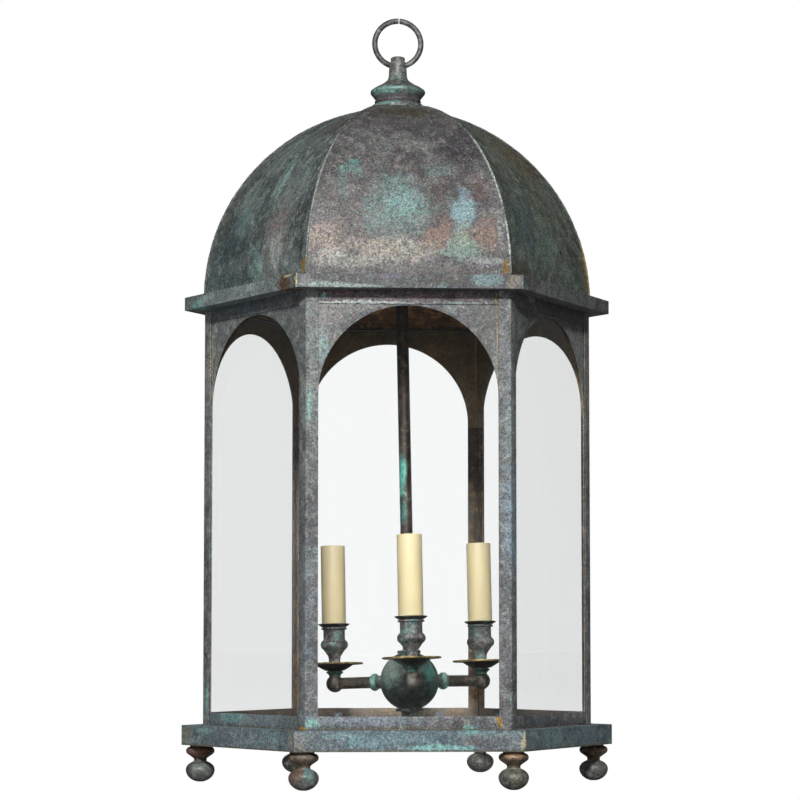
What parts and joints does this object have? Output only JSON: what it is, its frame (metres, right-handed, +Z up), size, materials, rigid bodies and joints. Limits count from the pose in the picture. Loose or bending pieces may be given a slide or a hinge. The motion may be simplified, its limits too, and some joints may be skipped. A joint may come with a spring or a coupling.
{
  "type": "pendant lantern",
  "caption": "Six-sided glazed pendant lantern of patinated brass: gored dome with a swinging hanging ring, ball feet and a three-light candle cluster.",
  "frame": {"origin": "on the ground under the dome's apex, midway between the six feet", "axes": "+Z up, +X through the right-hand post, -Y out of the front face"},
  "size_m": [0.46, 0.3984, 0.8234],
  "materials": {
    "dome_patina": "aged, mottled green and grey patina",
    "body_patina": "aged, mottled grey patina with verdigris",
    "finial_patina": "aged, dark grey-green patina",
    "foot_patina": "aged, dark brown patina",
    "cluster_patina": "aged, dark green patina",
    "pan_brass": "aged brass, worn bare at the rim",
    "bare_brass": "dull bare brass",
    "clip_metal": "tinned brass tabs",
    "clear_glass": "clear flat glass",
    "cream_sleeve": "cream candle sleeve",
    "holder_plastic": "pale lamp holder"
  },
  "bodies": {
    "lantern": {"ring_finial": "finial_patina", "cornice": "body_patina", "base_ring": "body_patina", "top_strips": "body_patina", "glass_clips": "clip_metal", "foot_nuts": "bare_brass", "stem_coupling": "cluster_patina", "stem": "cluster_patina", "hub": "cluster_patina", "hub_cap": "cluster_patina", "dome_panel_1": "dome_patina", "dome_panel_2": "dome_patina", "dome_panel_3": "dome_patina", "dome_panel_4": "dome_patina", "dome_panel_5": "dome_patina", "dome_panel_6": "dome_patina", "post_1": "body_patina", "post_2": "body_patina", "post_3": "body_patina", "post_4": "body_patina", "post_5": "body_patina", "post_6": "body_patina", "side_plate_1": "body_patina", "side_plate_2": "body_patina", "side_plate_3": "body_patina", "side_plate_4": "body_patina", "side_plate_5": "body_patina", "side_plate_6": "body_patina", "glass_pane_1": "clear_glass", "glass_pane_2": "clear_glass", "glass_pane_3": "clear_glass", "glass_pane_4": "clear_glass", "glass_pane_5": "clear_glass", "glass_pane_6": "clear_glass", "foot_1": "foot_patina", "foot_2": "foot_patina", "foot_3": "foot_patina", "foot_4": "foot_patina", "foot_5": "foot_patina", "foot_6": "foot_patina", "arm_1": "cluster_patina", "nipple_1": "bare_brass", "drip_pan_1": "pan_brass", "candle_cup_1": "cluster_patina", "lamp_holder_1": "holder_plastic", "candle_sleeve_1": "cream_sleeve", "arm_2": "cluster_patina", "nipple_2": "bare_brass", "drip_pan_2": "pan_brass", "candle_cup_2": "cluster_patina", "lamp_holder_2": "holder_plastic", "candle_sleeve_2": "cream_sleeve", "arm_3": "cluster_patina", "nipple_3": "bare_brass", "drip_pan_3": "pan_brass", "candle_cup_3": "cluster_patina", "lamp_holder_3": "holder_plastic", "candle_sleeve_3": "cream_sleeve"},
    "ring": {"hanging_ring": "finial_patina"}
  },
  "joints": [
    {"name": "ring_swing", "type": "hinge", "parent": "lantern", "child": "ring", "pos_m": [0, 0, 0.77141], "axis": [1, 0, 0], "range_deg": [-134, 134]}
  ]
}
